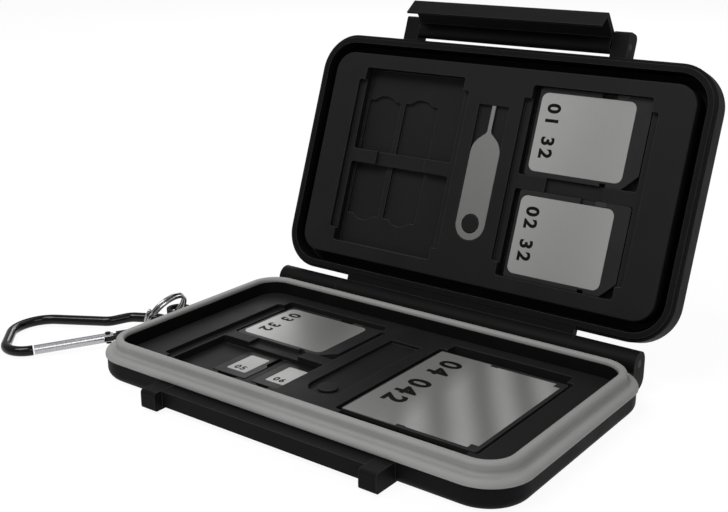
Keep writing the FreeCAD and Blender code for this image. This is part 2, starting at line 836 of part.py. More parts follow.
# Eject tool, drawn in tray places with its pin end to the rear
tool = new_body("eject_tool")
tool_low = -dim.slot_depth
tool_high = tool_low + dim.tool_thickness
tool_half = dim.tool_width / 2
tool_pin = dim.tool_pin_width / 2
add(tool, "XY", tool_low, tool_high, Polygon(
    (-tool_half, -dim.tool_eye), (tool_half, -dim.tool_eye), (tool_half, dim.tool_shoulder),
    (tool_pin, dim.tool_neck), (tool_pin, dim.tool_tip), (-tool_pin, dim.tool_tip),
    (-tool_pin, dim.tool_neck), (-tool_half, dim.tool_shoulder)))
shoulders = [(sign * tool_half.value, dim.tool_shoulder.value) for sign in (-1, 1)]
soften(tool, dim.tool_shoulder_round, lambda edge: upright(edge, shoulders))
necks = [(sign * tool_pin.value, dim.tool_neck.value) for sign in (-1, 1)]
soften(tool, dim.tool_neck_round, lambda edge: upright(edge, necks))
add(tool, "XY", tool_low, tool_high, Disc(0, -dim.tool_eye, tool_half))
cut(tool, "XY", tool_low, tool_high, Disc(0, -dim.tool_eye, dim.tool_hole_radius))
node(tool, lid_tray)


def contact_pads(label, count, pitch, start, length, width):
    """A row of contact pads in the underside of a card, along its end."""
    pads = []
    for index in range(count):
        middle = pitch * (index - (count - 1) / 2)
        pads.append(solid_box(f"{label}_pad", start, middle - width / 2, as_size(0),
                              length, width, dim.pad_thickness))
    return joined(label, pads)


def large_card(name, place):
    """A large card: body, label, lock slider and contacts, underside at z = 0."""
    body = new_body(name + "_body")
    half = dim.sd_length / 2
    side = dim.sd_width / 2
    top = dim.sd_thickness
    add(body, "XY", 0, top, Polygon(
        (-half, -side), (half - dim.sd_bevel, -side), (half, -side + dim.sd_bevel),
        (half, side), (-half, side)))
    corners = [(half.value, side.value), (-half.value, side.value), (-half.value, -side.value)]
    soften(body, dim.sd_corner, lambda edge: upright(edge, corners))
    left = dim.sd_label_shift - dim.sd_label_length / 2
    right = dim.sd_label_shift + dim.sd_label_length / 2
    reach = dim.sd_label_width / 2
    cut(body, "XY", top - dim.label_depth, top,
        Rounded(left, right, -reach, reach, dim.sd_label_round))
    lock_low = top - dim.lock_height
    lock_end = dim.lock_start + dim.lock_length
    cut(body, "XY", lock_low, top,
        rectangle(dim.lock_start, lock_end, side - dim.lock_depth, side + OVERCUT))
    notch_end = dim.notch_start + dim.notch_length
    cut(body, "XY", 0, top,
        rectangle(dim.notch_start, notch_end, -side - OVERCUT, -side + dim.notch_depth))
    pad_start = half - dim.pad_margin - dim.pad_length
    pad_reach = dim.pad_pitch * ((LARGE_PADS - 1) / 2) + dim.pad_width / 2 + dim.label_fit
    cut(body, "XY", 0, dim.pad_thickness, rectangle(
        pad_start - dim.label_fit, pad_start + dim.pad_length + dim.label_fit, -pad_reach, pad_reach))
    node(body, place)
    label = new_body(name + "_label")
    fit = dim.label_fit
    add(label, "XY", top - dim.label_depth, top,
        Rounded(left + fit, right - fit, -reach + fit, reach - fit, dim.sd_label_round - fit))
    node(label, place)
    slider = new_body(name + "_lock")
    fit = dim.lock_fit
    add(slider, "XY", lock_low, top, rectangle(
        lock_end - fit - dim.lock_slider, lock_end - fit, side - dim.lock_depth + fit, side))
    node(slider, place)
    pads = contact_pads(name + "_contacts", LARGE_PADS, dim.pad_pitch, pad_start,
                        dim.pad_length, dim.pad_width)
    node(pads, place)


def small_card(name, place):
    """A small card: body, label and contacts, contact end to the rear, underside at z = 0."""
    body = new_body(name + "_body")
    half = dim.micro_width / 2
    end = dim.micro_length / 2
    top = dim.micro_thickness
    step = -end + dim.micro_length - dim.micro_step_length
    add(body, "XY", 0, top, Polygon(
        (-half, -end), (half, -end), (half, step), (half - dim.micro_step, step + dim.micro_step),
        (half - dim.micro_step, end), (-half, end)))
    across = dim.micro_label_width / 2
    along = dim.micro_label_length / 2
    cut(body, "XY", top - dim.label_depth, top,
        Rounded(-across, across, -along, along, dim.micro_label_round))
    pad_start = end - dim.pad_margin - dim.micro_pad_length
    pad_reach = dim.micro_pad_pitch * ((SMALL_PADS - 1) / 2) + dim.micro_pad_width / 2 + dim.label_fit
    cut(body, "XY", 0, dim.pad_thickness, rectangle(
        -pad_reach, pad_reach, pad_start - dim.label_fit,
        pad_start + dim.micro_pad_length + dim.label_fit))
    node(body, place)
    label = new_body(name + "_label")
    fit = dim.label_fit
    add(label, "XY", top - dim.label_depth, top,
        Rounded(-across + fit, across - fit, -along + fit, along - fit, dim.micro_label_round - fit))
    node(label, place)
    pads = contact_pads(name + "_contacts", SMALL_PADS, dim.micro_pad_pitch, pad_start,
                        dim.micro_pad_length, dim.micro_pad_width)
    node(pads, place.multiply(about(ORIGIN, AXIS_Z, 90)))


def wide_card(name, place):
    """A wide card: a frame with guide grooves and a cover plate on each face."""
    body = new_body(name + "_frame")
    half = dim.wide_width / 2
    side = dim.wide_length / 2
    top = dim.wide_thickness
    add(body, "XY", 0, top, rectangle(-half, half, -side, side))
    corners = [(x * half.value, y * side.value) for x in (-1, 1) for y in (-1, 1)]
    soften(body, dim.sd_corner, lambda edge: upright(edge, corners))

    def cover_outline(fit):
        """The cover plate: wide at one end, stepped in past a notch, its far corners cut back."""
        left = -(half - dim.cover_edge - fit)
        right = half - dim.cover_margin - fit
        wide = side - dim.cover_edge - fit
        slim = side - dim.cover_margin - fit
        step = dim.cover_step - fit
        mark = dim.cover_step + dim.cover_notch + fit
        deep = slim - dim.cover_edge
        inner = right - dim.cover_corner
        cut_back = slim - dim.cover_corner
        near_side = [(left, -wide), (step, -wide), (step, -deep), (mark, -deep), (mark, -slim),
                     (inner, -slim), (inner, -cut_back), (right, -cut_back)]
        far_side = [(across, -along) for across, along in reversed(near_side)]
        return Polygon(*near_side, *far_side)

    cut(body, "XY", top - dim.cover_thickness, top, cover_outline(as_size(0)))
    cut(body, "XY", 0, dim.cover_thickness, cover_outline(as_size(0)))
    guide_low = (top - dim.guide_height) / 2
    for edge, reach in ((side, side - dim.guide_depth), (-side, -side + dim.guide_depth)):
        low, high = (reach, edge + OVERCUT) if edge.value > 0 else (edge - OVERCUT, reach)
        cut(body, "XY", guide_low, guide_low + dim.guide_height,
            rectangle(-half - OVERCUT, -half + dim.guide_length, low, high))
    node(body, place)
    for label, low in ((name + "_top_cover", top - dim.cover_thickness), (name + "_bottom_cover", 0)):
        cover = new_body(label)
        add(cover, "XY", low, as_size(low) + dim.cover_thickness, cover_outline(dim.label_fit))
        node(cover, place)


# Cards in their bays
sd_floor = -sd_depth.value
column = dim.column_offset.value
middle = bay_middle.value
lid_card_x = column + dim.lid_sd_shift.value
large_card("base_sd", base_tray.multiply(
    shift(-column + dim.base_sd_shift.value, middle, sd_floor)))
large_card("lid_sd_front", lid_tray.multiply(shift(lid_card_x, middle, sd_floor)))
large_card("lid_sd_rear", lid_tray.multiply(shift(lid_card_x, -middle, sd_floor)))
nest_middle = -(bay_near.value + nest_far.value) / 2
nest_floor = -nest_depth.value
for name, sign in (("micro_left", -0.5), ("micro_right", 0.5)):
    across = -column + dim.base_nest_shift.value + sign * dim.base_nest_spacing.value
    small_card(name, base_tray.multiply(shift(across, nest_middle, nest_floor)))
wide_card("cf", base_tray.multiply(shift(column, 0, -wide_depth.value)))


# Bent wire: the split ring, the carabiner and the gate spring
def biarc(start, start_along, end, end_along):
    """Two tangent arcs between two points with given directions."""
    gap = end - start
    both = start_along + end_along
    spread = 1 - start_along.dot(end_along)
    reach = gap.dot(both)
    length = (-reach + math.sqrt(reach * reach + 2 * spread * gap.dot(gap))) / (2 * spread)
    first = start + start_along * length
    second = end - end_along * length
    joint = (first + second) * 0.5
    return [tangent_arc(start, first, joint), tangent_arc(joint, second, end)]


def tangent_arc(start, corner, end):
    """The arc between two points whose end tangents meet at a corner."""
    chord = (start + end) * 0.5
    half = (end - start).Length / 2
    rise = corner - chord
    bend = math.atan2(rise.Length, half)
    crown = chord + rise * (half * math.tan(bend / 2) / rise.Length)
    return Part.Arc(start, crown, end).toShape()


def coil_point(radius, pitch, angle):
    """A point on a coil about Z."""
    return Vector(radius * math.cos(angle), radius * math.sin(angle), pitch * angle / (2 * math.pi))


def coil_along(radius, pitch, angle):
    """The direction of a coil about Z."""
    along = Vector(-radius * math.sin(angle), radius * math.cos(angle), pitch / (2 * math.pi))
    return along.normalize()


def least_gap(edges, turns, wire_radius):
    """The least clear gap between the turns of a coil, measured on points."""
    points = []
    for edge in edges:
        points += edge.discretize(GAP_POINTS)[:-1]
    half_turn = round(len(points) / turns / 2)
    gaps = [(points[first] - points[second]).Length
            for first in range(len(points)) for second in range(first + half_turn, len(points))]
    return min(gaps) - 2 * wire_radius


def coil_shape(name, radius, pitch, turns, wire_radius, start):
    """A coil of round wire about Z as one tube of quarter turns, its middle at z = 0."""
    steps = max(4, round(turns * 4))
    angles = [start + 2 * math.pi * turns * index / steps for index in range(steps + 1)]
    lift = Vector(0, 0, -pitch * (angles[0] + angles[-1]) / (4 * math.pi))
    points = [coil_point(radius, pitch, angle) + lift for angle in angles]
    directions = [coil_along(radius, pitch, angle) for angle in angles]
    edges = []
    for index in range(steps):
        edges += biarc(points[index], directions[index], points[index + 1], directions[index + 1])
    print(f"{name} least gap between turns {least_gap(edges, turns, wire_radius):.3f}")
    return tube(edges, points[0], directions[0], wire_radius)


def tube(edges, start, along, wire_radius):
    """A round wire drawn along a path."""
    ring = Part.Wire([Part.Circle(start, along, wire_radius).toShape()])
    shell = Part.BRepOffsetAPI.MakePipeShell(Part.Wire(edges))
    shell.add(ring)
    shell.build()
    shell.makeSolid()
    solid = shell.shape()
    if solid.Volume < 0:
        solid.reverse()
    return solid


def bent_path(corners):
    """Straight runs through corners given as a point and a bend radius."""
    points = [point for point, bend in corners]
    edges = []
    last = points[0]
    for index in range(1, len(corners) - 1):
        point, bend = corners[index]
        back = (points[index - 1] - point).normalize()
        on = (points[index + 1] - point).normalize()
        half = math.acos(max(-1.0, min(1.0, back.dot(on)))) / 2
        length = bend / math.tan(half)
        start = point + back * length
        end = point + on * length
        edges.append(Part.LineSegment(last, start).toShape())
        edges.append(tangent_arc(start, point, end))
        last = end
    edges.append(Part.LineSegment(last, points[-1]).toShape())
    return edges


def wire_node(label, shape, place):
    """A sub-part of bent wire."""
    item = doc.addObject("Part::Feature", label)
    item.Label = label
    item.Shape = shape
    return node(item, place)


# Split ring: leans over the eyelet with its low side on the ground
ring_radius = dim.ring_radius.value
hang = math.radians(dim.ring_hang.value)
lean = math.radians(dim.ring_lean.value)
ring_up = Vector(math.cos(lean), 0, math.sin(lean))
ring_normal = ring_up.cross(AXIS_Y)
eyelet = Vector(eyelet_x.value, dim.eyelet_shift.value,
                dim.eyelet_low.value + dim.eyelet_thickness.value / 2)
ring_centre = eyelet - (ring_up * math.cos(hang) + AXIS_Y * math.sin(hang)) * ring_radius
ring_frame = FreeCAD.Matrix(
    ring_up.x, AXIS_Y.x, ring_normal.x, ring_centre.x,
    ring_up.y, AXIS_Y.y, ring_normal.y, ring_centre.y,
    ring_up.z, AXIS_Y.z, ring_normal.z, ring_centre.z,
    0, 0, 0, 1)
ring_shape = coil_shape("split_ring", ring_radius, dim.ring_pitch.value, dim.ring_turns.value,
                        dim.ring_wire_radius.value, hang - math.pi)
wire_node("split_ring", ring_shape, Placement(ring_frame))

# Carabiner: u runs to the eye, v to the spine, the gate closes the other side
hook_start = eyelet + Vector(dim.hook_x.value, dim.hook_y.value, dim.hook_z.value)
hook_place = Placement(hook_start, Rotation(AXIS_Z, dim.hook_turn.value))
hook_rise = hook_start.z - dim.hook_wire_radius.value - dim.hook_ground_gap.value
hook_tilt = math.degrees(math.asin(hook_rise / dim.hook_length.value))
hook_place = hook_place.multiply(Placement(ORIGIN, Rotation(AXIS_Y, -hook_tilt)))
slope = math.radians(dim.gate_slope.value)
gate_along = Vector(-math.cos(slope), -math.sin(slope), 0)
pivot = Vector(-dim.pivot_back.value, -dim.pivot_side.value, 0)
wire_radius = dim.hook_wire_radius.value
gate_length = dim.gate_length.value
nose = pivot + gate_along * (gate_length + dim.gate_gap.value)
tongue_reach = dim.tongue_reach.value
stub = pivot - gate_along * tongue_reach
end = -dim.hook_length.value
eye_bend = dim.eye_bend.value
hook_path = bent_path([
    (nose, 0),
    (nose + gate_along * ((nose.x - end) / math.cos(slope)), dim.nose_bend.value),
    (Vector(end, dim.hook_spine.value, 0), dim.spine_bend.value),
    (Vector(-dim.waist_back.value, dim.waist_side.value, 0), dim.waist_bend.value),
    (Vector(-dim.shoulder_back.value, dim.shoulder_side.value, 0), eye_bend),
    (Vector(dim.eye_front.value, dim.eye_side.value, 0), eye_bend),
    (pivot - gate_along * dim.eye_stem.value, eye_bend),
    (stub, 0)])
hook_wire = tube(hook_path, nose, gate_along, wire_radius)
tongue_half = dim.tongue_thickness.value / 2
tongue_side = dim.tongue_width.value / 2
tongue_length = tongue_reach + dim.tongue_root.value
tongue = Part.makeBox(tongue_length, 2 * tongue_side, 2 * tongue_half,
                      Vector(-tongue_length, -tongue_side, -tongue_half))
tongue = tongue.fuse(Part.makeCylinder(
    tongue_side, 2 * tongue_half, Vector(0, 0, -tongue_half), AXIS_Z))
rivet_hole = Part.makeCylinder(dim.rivet_radius.value + dim.tight_fit.value, 4 * tongue_half,
                               Vector(0, 0, -2 * tongue_half), AXIS_Z)
gate_turn = Placement(pivot, Rotation(AXIS_X, gate_along))
tongue = tongue.cut(rivet_hole)
tongue.Placement = gate_turn
hook_shape = hook_wire.fuse(tongue).removeSplitter()
wire_node("carabiner_body", hook_shape.Solids[0], hook_place)

# Gate: a forked tube on the rivet, drawn along X from the pivot
gate_place = hook_place.multiply(gate_turn)
lengthwise = Rotation(AXIS_Y, 90)
gate_rod = solid_rod("gate_rod", dim.gate_radius, dim.gate_length + dim.gate_fork,
                     Placement(Vector(-dim.gate_fork.value, 0, 0), lengthwise))
gate_bore = solid_rod("gate_bore", dim.gate_bore_radius, dim.gate_bore_length + dim.gate_fork,
                      Placement(Vector(-dim.gate_fork.value, 0, 0), lengthwise))
slot_half = dim.tongue_thickness / 2 + dim.tongue_fit
slot_reach = dim.gate_radius + OVERCUT
gate_slot = solid_box("gate_slot", -dim.gate_fork - OVERCUT, -slot_reach, -slot_half,
                      dim.gate_fork * 2 + OVERCUT, slot_reach * 2, slot_half * 2)
gate_hole = solid_rod("gate_hole", dim.rivet_radius + dim.running_fit, dim.gate_radius * 4,
                      Placement(Vector(0, 0, -2 * dim.gate_radius.value), Rotation()))
gate_tools = joined("gate_hollow", [gate_bore, gate_slot, gate_hole])
node(taken("carabiner_gate", gate_rod, gate_tools), gate_place)

# Rivet through the fork and the tongue
rivet_reach = dim.gate_radius + dim.running_fit
rivet_shank = solid_rod("rivet_shank", dim.rivet_radius, rivet_reach * 2,
                        Placement(Vector(0, 0, -rivet_reach.value), Rotation()))
rivet_heads = []
for head_start in (rivet_reach.value, -rivet_reach.value - dim.rivet_head_height.value):
    rivet_heads.append(solid_rod("rivet_head", dim.rivet_head_radius, dim.rivet_head_height,
                                 Placement(Vector(0, 0, head_start), Rotation())))
node(joined("gate_rivet", [rivet_shank] + rivet_heads), gate_place)

# Spring in the bore of the gate
spring_length = dim.spring_pitch.value * dim.spring_turns.value
spring_shape = coil_shape("gate_spring", dim.spring_radius.value, dim.spring_pitch.value,
                          dim.spring_turns.value, dim.spring_wire_radius.value, 0.0)
spring_middle = dim.spring_start.value + spring_length / 2
wire_node("gate_spring", spring_shape,
          gate_place.multiply(Placement(Vector(spring_middle, 0, 0), lengthwise)))

doc.recompute()
for item in doc.Objects:
    if "Invalid" in item.State or "Error" in item.State:
        raise RuntimeError(f"{item.Name} did not build: {item.State}")
    if item.TypeId == "PartDesign::Pocket":
        before = item.BaseFeature.Shape.Volume
        if item.Shape.Volume > before - NEAR:
            raise RuntimeError(f"{item.Name} takes nothing away")
os.makedirs("parts", exist_ok=True)
for item in nodes:
    shape = item.Shape
    if shape.isNull() or not shape.isValid():
        raise RuntimeError(f"{item.Label} has no valid shape")
    shape.exportStep(f"parts/{item.Label}.step")
    box = shape.BoundBox
    print(f"{item.Label:22s} solids {len(shape.Solids)} volume {shape.Volume:9.2f}"
          f" x {box.XMin:7.2f} {box.XMax:7.2f} y {box.YMin:7.2f} {box.YMax:7.2f}"
          f" z {box.ZMin:6.2f} {box.ZMax:6.2f}")
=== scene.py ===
"""Finishes, printed numerals, wire forms, light and camera of a hinged memory card case."""

import json
import logging
import math
from dataclasses import dataclass, field
from enum import Enum
from typing import Any

import bmesh
import bpy
from mathutils import Matrix, Vector


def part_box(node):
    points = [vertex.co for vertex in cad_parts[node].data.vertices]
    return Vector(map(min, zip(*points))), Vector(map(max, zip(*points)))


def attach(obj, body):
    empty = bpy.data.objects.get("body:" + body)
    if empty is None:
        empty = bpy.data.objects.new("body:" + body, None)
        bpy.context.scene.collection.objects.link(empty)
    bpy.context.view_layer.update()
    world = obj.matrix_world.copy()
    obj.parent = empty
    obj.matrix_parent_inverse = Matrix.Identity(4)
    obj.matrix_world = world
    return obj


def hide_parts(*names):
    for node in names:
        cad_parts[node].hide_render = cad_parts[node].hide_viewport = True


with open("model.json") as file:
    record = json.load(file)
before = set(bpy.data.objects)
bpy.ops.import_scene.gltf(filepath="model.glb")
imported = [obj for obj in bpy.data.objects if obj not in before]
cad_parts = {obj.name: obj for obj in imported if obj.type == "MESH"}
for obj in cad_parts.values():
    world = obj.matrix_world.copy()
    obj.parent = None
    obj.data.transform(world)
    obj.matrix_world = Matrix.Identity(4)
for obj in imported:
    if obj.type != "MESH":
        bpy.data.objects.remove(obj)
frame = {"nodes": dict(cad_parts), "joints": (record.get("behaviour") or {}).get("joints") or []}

Colour = tuple[float, float, float, float]
Inputs = dict[str | int, Any]
log = logging.getLogger("card_case")

MM = 0.001
AXIS_X = Vector((1.0, 0.0, 0.0))
AXIS_Y = Vector((0.0, 1.0, 0.0))
AXIS_Z = Vector((0.0, 0.0, 1.0))

# sRGB runs straight up to its knee and follows a power above it
SRGB_FULL = 255
SRGB_KNEE = 0.04045
SRGB_SLOPE = 12.92
SRGB_SHIFT = 0.055
SRGB_POWER = 2.4

# A wave pattern of scale 1 repeats every so many units
WAVE_PERIOD = math.pi / 10
# Most of a noise pattern lies between these values
NOISE_LOW = 0.3
NOISE_HIGH = 0.7
# Places of a Mix node's colour sockets, which share their names with its other sockets
MIX_SHARE = 0
MIX_FIRST = 6
MIX_SECOND = 7
MIX_RESULT = 2


class Body(Enum):
    """Moving bodies that new pieces ride on."""

    RING = "ring"
    GATE = "gate"
    BASE_CARD = "base_sd"
    LID_FRONT_CARD = "lid_sd_front"
    LID_REAR_CARD = "lid_sd_rear"
    SMALL_LEFT = "micro_left"
    SMALL_RIGHT = "micro_right"
    WIDE_CARD = "wide_card"


class Reading(Enum):
    """Which way the print on a card's label runs."""

    ACROSS_CARD = "across the card, its tops towards the contact end"
    ALONG_EDGE = "along the near edge"


def linear(code: str) -> Colour:
    """Turns an sRGB hex colour into a linear one.

    Args:
        code: Six hex digits after a hash sign.

    Returns:
        Red, green, blue and a full alpha.
    """
    parts = [int(code[place:place + 2], 16) / SRGB_FULL for place in (1, 3, 5)]
    red, green, blue = (
        part / SRGB_SLOPE
        if part <= SRGB_KNEE
        else ((part + SRGB_SHIFT) / (1 + SRGB_SHIFT)) ** SRGB_POWER
        for part in parts
    )
    return red, green, blue, 1.0


def lighter(colour: Colour, factor: float) -> Colour:
    """Lifts a linear colour by a factor and keeps its alpha."""
    red, green, blue, alpha = colour
    return red * factor, green * factor, blue * factor, alpha


def cells(size_mm: float) -> float:
    """Gives the scale of a pattern whose features are so many millimetres wide."""
    return 1.0 / (size_mm * MM)


def add_node(
    tree: bpy.types.NodeTree,
    kind: str,
    inputs: Inputs | None = None,
    **settings: Any,
) -> bpy.types.Node:
    """Adds a node with its settings and links.

    Args:
        tree: Node tree that gets the node.
        kind: Blender's name of the node's type.
        inputs: A value or an output socket for each input, by name or place.
        settings: Properties of the node itself.

    Returns:
        The new node.
    """
    node = tree.nodes.new(kind)
    for name, value in settings.items():
        setattr(node, name, value)
    for key, value in (inputs or {}).items():
        if isinstance(value, bpy.types.NodeSocket):
            tree.links.new(value, node.inputs[key])
        else:
            node.inputs[key].default_value = value
    return node


@dataclass(frozen=True)
class Finish:
    """A surface: its name, its colour and how rough it is, with how far that swings."""

    name: str
    colour: str
    roughness: float
    smoother: float = 0.05
    rougher: float = 0.05

    def material(self) -> bpy.types.Material:
        """Makes the material, or finds the one that is already made.

        Returns:
            The material of this finish.
        """
        made = bpy.data.materials.get(self.name)
        if made is None:
            made = bpy.data.materials.new(self.name)
            made.use_nodes = True
            self.dress(made.node_tree, made.node_tree.nodes["Principled BSDF"])
        return made

    def dress(self, tree: bpy.types.NodeTree, shader: bpy.types.Node) -> None:
        """Adds this finish's nodes to a new material."""
        raise NotImplementedError

    def polish_range(self, noise: bpy.types.NodeSocket) -> Inputs:
        """Lists the inputs that let the roughness follow a noise pattern.

        Args:
            noise: The pattern's output.

        Returns:
            The pattern, its usual span and the span of the roughness.
        """
        return {
            "Value": noise,
            "From Min": NOISE_LOW,
            "From Max": NOISE_HIGH,
            "To Min": self.roughness - self.smoother,
            "To Max": self.roughness + self.rougher,
        }


@dataclass(frozen=True)
class Moulding(Finish):
    """Injection-moulded plastic from a spark-eroded tool: matt, finely pitted, with a painted
    highlight along its edges.

    The pits are about 0.1 mm on the real plastic and are drawn coarser, so that they show.
    """

    specular: float = 0.1
    pit_mm: float = 0.32
    pit_depth_mm: float = 0.012
    cloud_mm: float = 9.0
    cloud_detail: float = 4.0
    cloud_low: float = 0.35
    cloud_high: float = 0.65
    cloud_lift: float = 1.18
    # A painted highlight lightens each edge: its colour, the width the edge is found over, and
    # its share
    edge_highlight_colour: str = "#484849"
    edge_radius_mm: float = 0.22
    edge_samples: int = 6
    edge_highlight_share: float = 0.7
    # Cosines of the turn where an edge starts to take the painted highlight, and where it takes
    # it in full
    highlight_start: float = 0.995
    highlight_full: float = 0.8

    def dress(self, tree: bpy.types.NodeTree, shader: bpy.types.Node) -> None:
        """Adds pits, faint clouds and a painted highlight along the edges.

        Args:
            tree: The material's node tree.
            shader: Its surface shader.
        """
        place = add_node(tree, "ShaderNodeTexCoord").outputs["Object"]
        soft = {"Vector": place, "Scale": cells(self.cloud_mm), "Detail": self.cloud_detail}
        clouds = add_node(tree, "ShaderNodeTexNoise", soft).outputs[0]
        fine = {"Vector": place, "Scale": cells(self.pit_mm)}
        pits = add_node(tree, "ShaderNodeTexNoise", fine).outputs[0]
        edge = {"Radius": self.edge_radius_mm * MM}
        rounded = add_node(tree, "ShaderNodeBevel", edge, samples=self.edge_samples).outputs[0]
        flat = add_node(tree, "ShaderNodeNewGeometry").outputs["Normal"]
        pair = {0: rounded, 1: flat}
        facing = add_node(tree, "ShaderNodeVectorMath", pair, operation="DOT_PRODUCT")
        edge_highlight_range = {
            "Value": facing.outputs["Value"],
            "From Min": self.highlight_start,
            "From Max": self.highlight_full,
            "To Max": self.edge_highlight_share,
        }
        painted_highlight = add_node(tree, "ShaderNodeMapRange", edge_highlight_range).outputs[0]
        haze = {"Value": clouds, "From Min": self.cloud_low, "From Max": self.cloud_high}
        share = add_node(tree, "ShaderNodeMapRange", haze).outputs[0]
        plain = linear(self.colour)
        faded = lighter(plain, self.cloud_lift)
        clouded = {MIX_SHARE: share, MIX_FIRST: plain, MIX_SECOND: faded}
        body = add_node(tree, "ShaderNodeMix", clouded, data_type="RGBA").outputs[MIX_RESULT]
        # Painted highlight: every edge is lightened towards the highlight colour
        highlighted = {MIX_SHARE: painted_highlight, MIX_FIRST: body, MIX_SECOND: linear(self.edge_highlight_colour)}
        colour = add_node(tree, "ShaderNodeMix", highlighted, data_type="RGBA").outputs[MIX_RESULT]
        tree.links.new(colour, shader.inputs["Base Color"])
        polish = add_node(tree, "ShaderNodeMapRange", self.polish_range(clouds)).outputs[0]
        tree.links.new(polish, shader.inputs["Roughness"])
        shader.inputs["Specular IOR Level"].default_value = self.specular
        relief = {"Height": pits, "Distance": self.pit_depth_mm * MM, "Normal": rounded}
        bump = add_node(tree, "ShaderNodeBump", relief).outputs[0]
        tree.links.new(bump, shader.inputs["Normal"])


@dataclass(frozen=True)
class Elastomer(Finish):
    """Moulded thermoplastic rubber: satin, with a faint bloom over a fine skin."""

    smoother: float = 0.06
    rougher: float = 0.06
    specular: float = 0.15
    bloom_colour: str = "#848483"
    bloom_mm: float = 14.0
    bloom_detail: float = 3.0
    bloom_low: float = 0.35
    bloom_high: float = 0.7
    skin_mm: float = 0.5
    skin_depth_mm: float = 0.006

    def dress(self, tree: bpy.types.NodeTree, shader: bpy.types.Node) -> None:
        """Adds bloom in soft clouds over a fine skin.

        Args:
            tree: The material's node tree.
            shader: Its surface shader.
        """
        place = add_node(tree, "ShaderNodeTexCoord").outputs["Object"]
        soft = {"Vector": place, "Scale": cells(self.bloom_mm), "Detail": self.bloom_detail}
        bloom = add_node(tree, "ShaderNodeTexNoise", soft).outputs[0]
        fine = {"Vector": place, "Scale": cells(self.skin_mm)}
        skin = add_node(tree, "ShaderNodeTexNoise", fine).outputs[0]
        haze = {"Value": bloom, "From Min": self.bloom_low, "From Max": self.bloom_high}
        share = add_node(tree, "ShaderNodeMapRange", haze).outputs[0]
        pair = {
            MIX_SHARE: share,
            MIX_FIRST: linear(self.colour),
            MIX_SECOND: linear(self.bloom_colour),
        }
        colour = add_node(tree, "ShaderNodeMix", pair, data_type="RGBA").outputs[MIX_RESULT]
        tree.links.new(colour, shader.inputs["Base Color"])
        polish = add_node(tree, "ShaderNodeMapRange", self.polish_range(bloom)).outputs[0]
        tree.links.new(polish, shader.inputs["Roughness"])
        shader.inputs["Specular IOR Level"].default_value = self.specular
        relief = {"Height": skin, "Distance": self.skin_depth_mm * MM}
        bump = add_node(tree, "ShaderNodeBump", relief).outputs[0]
        tree.links.new(bump, shader.inputs["Normal"])


@dataclass(frozen=True)
class Metal(Finish):
    """Bare metal with fine drawn or blasted marks, which may be stretched along one direction.

    The marks are a few hundredths of a millimetre on the real metal and are drawn coarser, so
    that they show.
    """

    smoother: float = 0.06
    rougher: float = 0.06
    mark_mm: float = 0.25
    mark_detail: float = 3.0
    mark_depth_mm: float = 0.003
    stretch: tuple[float, float, float] = (1.0, 1.0, 1.0)
    turn_deg: tuple[float, float, float] = (0.0, 0.0, 0.0)
    dull_colour: str = "#8d8d8e"
    dull_low: float = 0.35
    dull_high: float = 0.75
    dull_share: float = 0.45

    def dress(self, tree: bpy.types.NodeTree, shader: bpy.types.Node) -> None:
        """Adds marks that vary the polish, and slightly duller patches.

        Args:
            tree: The material's node tree.
            shader: Its surface shader.
        """
        place = add_node(tree, "ShaderNodeTexCoord").outputs["Object"]
        turn = tuple(math.radians(angle) for angle in self.turn_deg)
        mapping = {"Vector": place, "Rotation": turn, "Scale": self.stretch}
        drawn = add_node(tree, "ShaderNodeMapping", mapping).outputs[0]
        fine = {"Vector": drawn, "Scale": cells(self.mark_mm), "Detail": self.mark_detail}
        marks = add_node(tree, "ShaderNodeTexNoise", fine).outputs[0]
        patch = {
            "Value": marks,
            "From Min": self.dull_low,
            "From Max": self.dull_high,
            "To Max": self.dull_share,
        }
        share = add_node(tree, "ShaderNodeMapRange", patch).outputs[0]
        pair = {
            MIX_SHARE: share,
            MIX_FIRST: linear(self.colour),
            MIX_SECOND: linear(self.dull_colour),
        }
        colour = add_node(tree, "ShaderNodeMix", pair, data_type="RGBA").outputs[MIX_RESULT]
        tree.links.new(colour, shader.inputs["Base Color"])
        shader.inputs["Metallic"].default_value = 1.0
        polish = add_node(tree, "ShaderNodeMapRange", self.polish_range(marks)).outputs[0]
        tree.links.new(polish, shader.inputs["Roughness"])
        relief = {"Height": marks, "Distance": self.mark_depth_mm * MM}
        bump = add_node(tree, "ShaderNodeBump", relief).outputs[0]
        tree.links.new(bump, shader.inputs["Normal"])


@dataclass(frozen=True)
class GlossPaint(Finish):
    """Baked gloss enamel on bent wire: deep black with a slight ripple under a clear coat."""

    smoother: float = 0.04
    rougher: float = 0.06
    specular: float = 0.2
    ripple_mm: float = 1.4
    ripple_depth_mm: float = 0.02
    ripple_lift: float = 2.0
    coat: float = 0.04
    coat_roughness: float = 0.15

    def dress(self, tree: bpy.types.NodeTree, shader: bpy.types.Node) -> None:
        """Adds a ripple in the coat and a faint change of depth in the black.

        Args:
            tree: The material's node tree.
            shader: Its surface shader.
        """
        place = add_node(tree, "ShaderNodeTexCoord").outputs["Object"]
        soft = {"Vector": place, "Scale": cells(self.ripple_mm)}
        ripple = add_node(tree, "ShaderNodeTexNoise", soft).outputs[0]
        deep = linear(self.colour)
        pair = {MIX_SHARE: ripple, MIX_FIRST: deep, MIX_SECOND: lighter(deep, self.ripple_lift)}
        colour = add_node(tree, "ShaderNodeMix", pair, data_type="RGBA").outputs[MIX_RESULT]
        tree.links.new(colour, shader.inputs["Base Color"])
        polish = add_node(tree, "ShaderNodeMapRange", self.polish_range(ripple)).outputs[0]
        tree.links.new(polish, shader.inputs["Roughness"])
        shader.inputs["Specular IOR Level"].default_value = self.specular
        shader.inputs["Coat Weight"].default_value = self.coat
        shader.inputs["Coat Roughness"].default_value = self.coat_roughness
        relief = {"Height": ripple, "Distance": self.ripple_depth_mm * MM}
        bump = add_node(tree, "ShaderNodeBump", relief).outputs[0]
        tree.links.new(bump, shader.inputs["Normal"])


